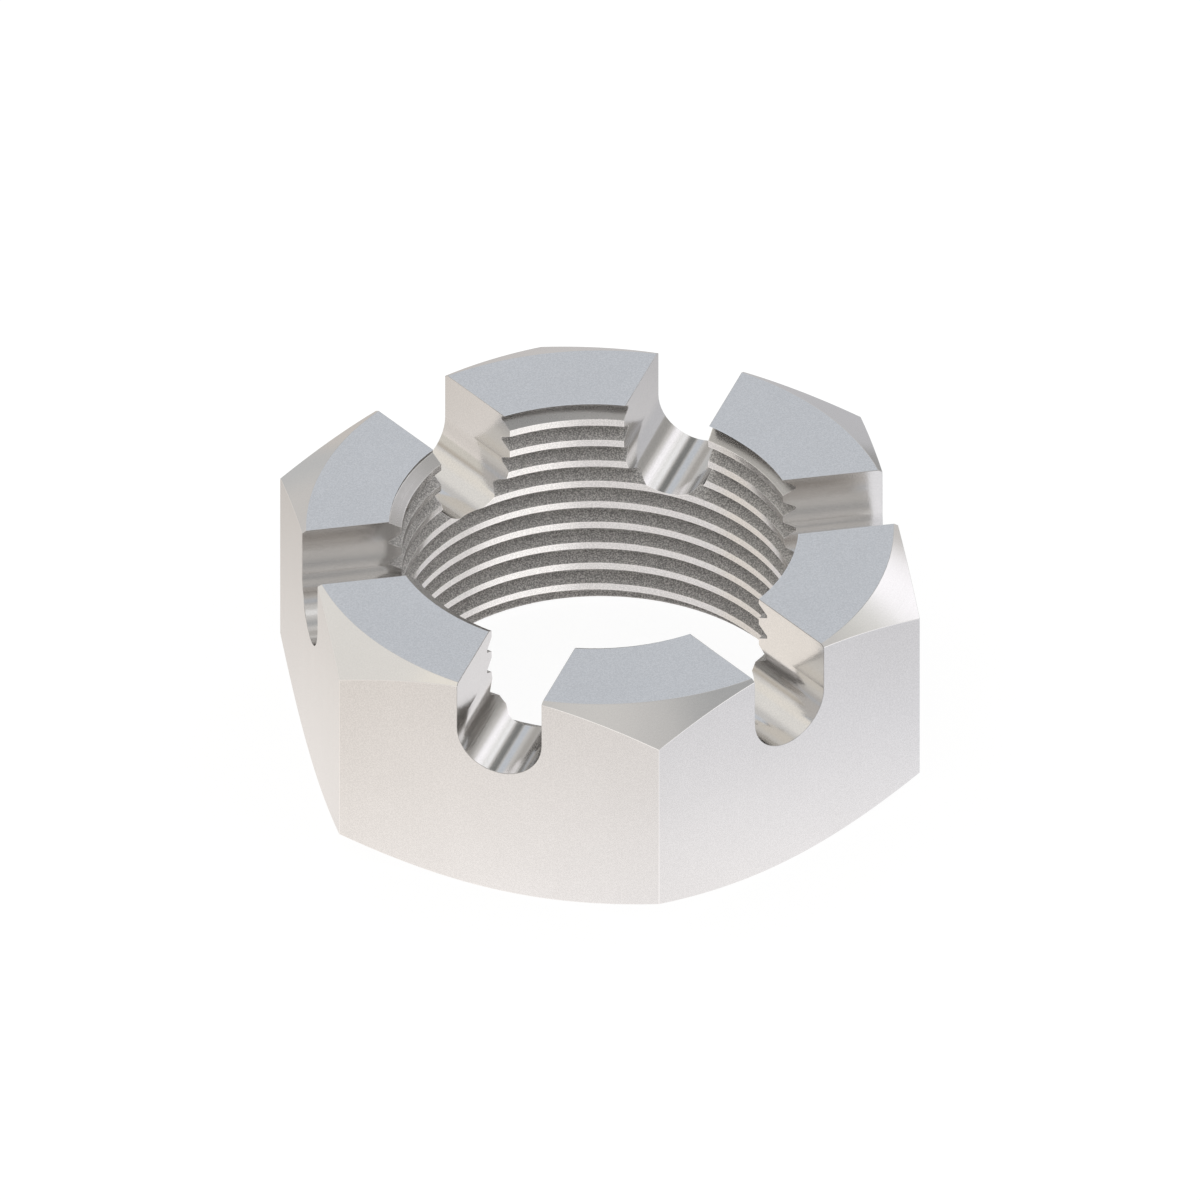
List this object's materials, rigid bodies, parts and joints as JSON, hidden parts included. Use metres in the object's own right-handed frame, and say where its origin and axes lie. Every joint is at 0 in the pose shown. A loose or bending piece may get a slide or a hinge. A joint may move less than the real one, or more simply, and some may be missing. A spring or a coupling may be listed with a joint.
{
  "type": "castle nut",
  "caption": "Low hexagon castle nut with an internal right-hand thread, and a round-floored cotter pin slot in the middle of each flat.",
  "frame": {"origin": "centre of the bearing face, on the thread axis", "axes": "+Z along the thread axis towards the castellations, +X through the middle of one flat and its slot"},
  "size_m": [0.046, 0.0532, 0.0192],
  "materials": {
    "nut_steel": "satin"
  },
  "bodies": {
    "root": {"castle_nut": "nut_steel"}
  },
  "joints": []
}
